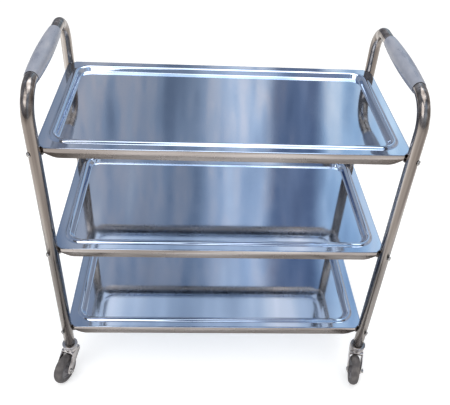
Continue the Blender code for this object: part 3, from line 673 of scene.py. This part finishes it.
def fork_shape(trail, axle_height):
    """The fork's outer skin: crown, lips and sides, open below and along the sides' edges."""
    ear = arc_points((-trail, axle_height), EAR_RADIUS, radians(150), radians(330), 16)
    lip_height = CROWN_HEIGHT - CROWN_LIP
    outline = [(CROWN_REACH, CROWN_HEIGHT), (-CROWN_REACH, CROWN_HEIGHT), (-CROWN_REACH, lip_height),
               (-trail + 0.006, (lip_height + axle_height) / 2 + 0.008),
               (-trail - 0.002, axle_height + 0.019),
               *ear, (0.004, lip_height - 0.013), (CROWN_REACH, lip_height)]
    shape = bmesh.new()
    side = shape.faces.new([shape.verts.new((-FORK_WIDTH / 2, y, z)) for y, z in outline])
    sweep = bmesh.ops.extrude_face_region(shape, geom=[side])["geom"]
    bmesh.ops.translate(shape, verts=[part for part in sweep if isinstance(part, bmesh.types.BMVert)],
                        vec=(FORK_WIDTH, 0, 0))
    bmesh.ops.recalc_face_normals(shape, faces=shape.faces[:])
    bmesh.ops.dissolve_degenerate(shape, edges=shape.edges[:], dist=1e-6)

    def is_pressed(face):
        middle = face.calc_center_median()
        is_side = abs(face.normal.x) > 0.9
        is_crown = middle.z > CROWN_HEIGHT - 1e-5
        is_lip = abs(abs(middle.y) - CROWN_REACH) < 1e-5 and middle.z > lip_height
        return is_side or is_crown or is_lip

    bmesh.ops.delete(shape, geom=[face for face in shape.faces if not is_pressed(face)], context="FACES")
    bends = [edge for edge in shape.edges if len(edge.link_faces) == 2]
    bmesh.ops.bevel(shape, geom=bends, offset=CROWN_BEND, offset_type="OFFSET", affect="EDGES", segments=5,
                    profile=0.5, material=-1)
    return shape


for corner in CASTER_CORNERS:
    body = f"caster_{corner}"
    axle = Vector(joints[f"roll_{corner}"]["pos_m"])
    leg = Vector(joints[f"swivel_{corner}"]["pos_m"])
    trail = (axle.xy - leg.xy).length
    shape = fork_shape(trail, axle.z)
    bmesh.ops.transform(shape, matrix=caster_place(corner), verts=shape.verts[:])
    fork = new_piece(f"pressed_fork_{corner}", shape, fork_plating)
    sheet = fork.modifiers.new("sheet", "SOLIDIFY")
    sheet.thickness = FORK_SHEET
    sheet.offset = -1
    sheet.use_even_offset = True
    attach(fork, body)
    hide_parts(f"fork_{corner}")

    race_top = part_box(f"fork_{corner}")[1][2]
    race = race_top - CROWN_HEIGHT
    upper = arc_points((RACE_RADIUS - race * 0.22, race_top - race * 0.24), race * 0.22, pi / 2, -pi / 3, 7)
    section = [(KING_PIN_RADIUS + 0.0003, race_top), (0.013, race_top), *upper,
               (RACE_RADIUS - race * 0.16, CROWN_HEIGHT + race * 0.35),
               (RACE_RADIUS - race * 0.05, CROWN_HEIGHT),
               (KING_PIN_RADIUS + 0.0003, CROWN_HEIGHT)]
    shape = turned(section, ROUND_SIDES, closed=True)
    bmesh.ops.translate(shape, verts=shape.verts[:], vec=(leg.x, leg.y, 0))
    cup = new_piece(f"race_cup_{corner}", shape, fork_plating)
    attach(cup, body)


# ---------------------------------------------------------------- axles
# A domed bolt is the axle. It passes through the fork's ears and the hub, with a washer and
# a plain nut on the outer side.

WASHER_RADIUS = 0.0068
WASHER_THICKNESS = 0.0009

for corner in CASTER_CORNERS:
    place = caster_place(corner)
    axle = Vector(joints[f"roll_{corner}"]["pos_m"])
    across = Vector(joints[f"roll_{corner}"]["axis"]).normalized()
    ear_face = FORK_WIDTH / 2 + 0.0002
    shape = bolt_shape(2 * ear_face + NUT_THICKNESS + 0.0015)
    stand_along(shape, axle - across * ear_face, -across)
    bolt = new_piece(f"axle_with_head_{corner}", shape, bolt_steel)
    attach(bolt, f"caster_{corner}")
    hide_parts(f"axle_bolt_{corner}")
    shape = nut_shape()
    stand_along(shape, axle + across * (ear_face + WASHER_THICKNESS), across)
    nut = new_piece(f"axle_end_nut_{corner}", shape, bolt_steel)
    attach(nut, f"caster_{corner}")
    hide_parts(f"axle_nut_{corner}")
    section = [(BOLT_RADIUS * 1.05, WASHER_THICKNESS), (WASHER_RADIUS * 0.95, WASHER_THICKNESS),
               (WASHER_RADIUS, WASHER_THICKNESS / 2), (WASHER_RADIUS, 0), (BOLT_RADIUS * 1.05, 0)]
    shape = turned(section, ROUND_SIDES, closed=True)
    stand_along(shape, axle + across * ear_face, across)
    washer = new_piece(f"axle_washer_{corner}", shape, bolt_steel)
    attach(washer, f"caster_{corner}")


# ---------------------------------------------------------------- wheels
# A grey moulded hub with a thin web carries a solid rubber tyre. The tyre's tread is rounded
# and scuffed grey with use; a dark groove runs round the hub beside it.

TYRE_INNER_RADIUS = 0.0250
TYRE_HALF_WIDTH = 0.0105
HUB_WEB = 0.0065
HUB_RIM_HALF_WIDTH = 0.0095
HUB_BOSS_RADIUS = 0.0085
TREAD_ROUNDING = 0.0075
TREAD_STEPS = 12
WHEEL_SIDES = 72

tyre_rubber = moulded("tyre_rubber", [(0.30, (0.075, 0.068, 0.068)), (0.50, (0.125, 0.115, 0.115)),
                                      (0.74, (0.23, 0.21, 0.20))], 0.8, 520.0, 0.35, (55.0, 55.0, 55.0))
hub_grey = moulded("hub_grey", [(0.30, (0.12, 0.11, 0.12)), (0.70, (0.22, 0.21, 0.22))], 0.5, 800.0, 0.15)

for corner in CASTER_CORNERS:
    body = f"wheel_{corner}"
    axle = Vector(joints[f"roll_{corner}"]["pos_m"])
    across = Vector(joints[f"roll_{corner}"]["axis"]).normalized()
    radius = axle.z
    turns = [pi / 2 * step / TREAD_STEPS for step in range(1, TREAD_STEPS + 1)]
    tread = [(radius - TREAD_ROUNDING * (1 - cos(turn)), TYRE_HALF_WIDTH * sin(turn)) for turn in turns]
    side = [*tread, (TYRE_INNER_RADIUS + 0.0045, TYRE_HALF_WIDTH - 0.0003),
            (TYRE_INNER_RADIUS + 0.0030, TYRE_HALF_WIDTH - 0.0012),
            (TYRE_INNER_RADIUS, TYRE_HALF_WIDTH - 0.0014)]
    mirrored_side = [(r, -w) for r, w in reversed(side)]
    shape = turned([(radius, 0.0)] + side + mirrored_side, WHEEL_SIDES, closed=True)
    stand_along(shape, axle, across)
    tyre = new_piece(f"rubber_tyre_{corner}", shape, tyre_rubber)
    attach(tyre, body)
    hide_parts(f"tyre_{corner}")

    hub_width = FORK_WIDTH / 2 - FORK_SHEET - 0.0003
    rim = TYRE_INNER_RADIUS - 0.0002
    side = [(BOLT_RADIUS + 0.0003, hub_width), (HUB_BOSS_RADIUS - 0.0008, hub_width),
            (HUB_BOSS_RADIUS, hub_width - 0.0008), (HUB_BOSS_RADIUS + 0.0006, HUB_WEB + 0.0008),
            (HUB_BOSS_RADIUS + 0.0018, HUB_WEB), (rim - 0.0062, HUB_WEB),
            (rim - 0.0052, HUB_RIM_HALF_WIDTH - 0.0016),
            (rim - 0.0044, HUB_RIM_HALF_WIDTH - 0.0005), (rim - 0.0020, HUB_RIM_HALF_WIDTH - 0.0002),
            (rim - 0.0012, HUB_RIM_HALF_WIDTH - 0.0016), (rim, HUB_RIM_HALF_WIDTH - 0.0018)]
    shape = turned(side + [(r, -w) for r, w in reversed(side)], WHEEL_SIDES, closed=True)
    stand_along(shape, axle, across)
    hub = new_piece(f"moulded_hub_{corner}", shape, hub_grey)
    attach(hub, body)
    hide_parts(f"hub_{corner}")
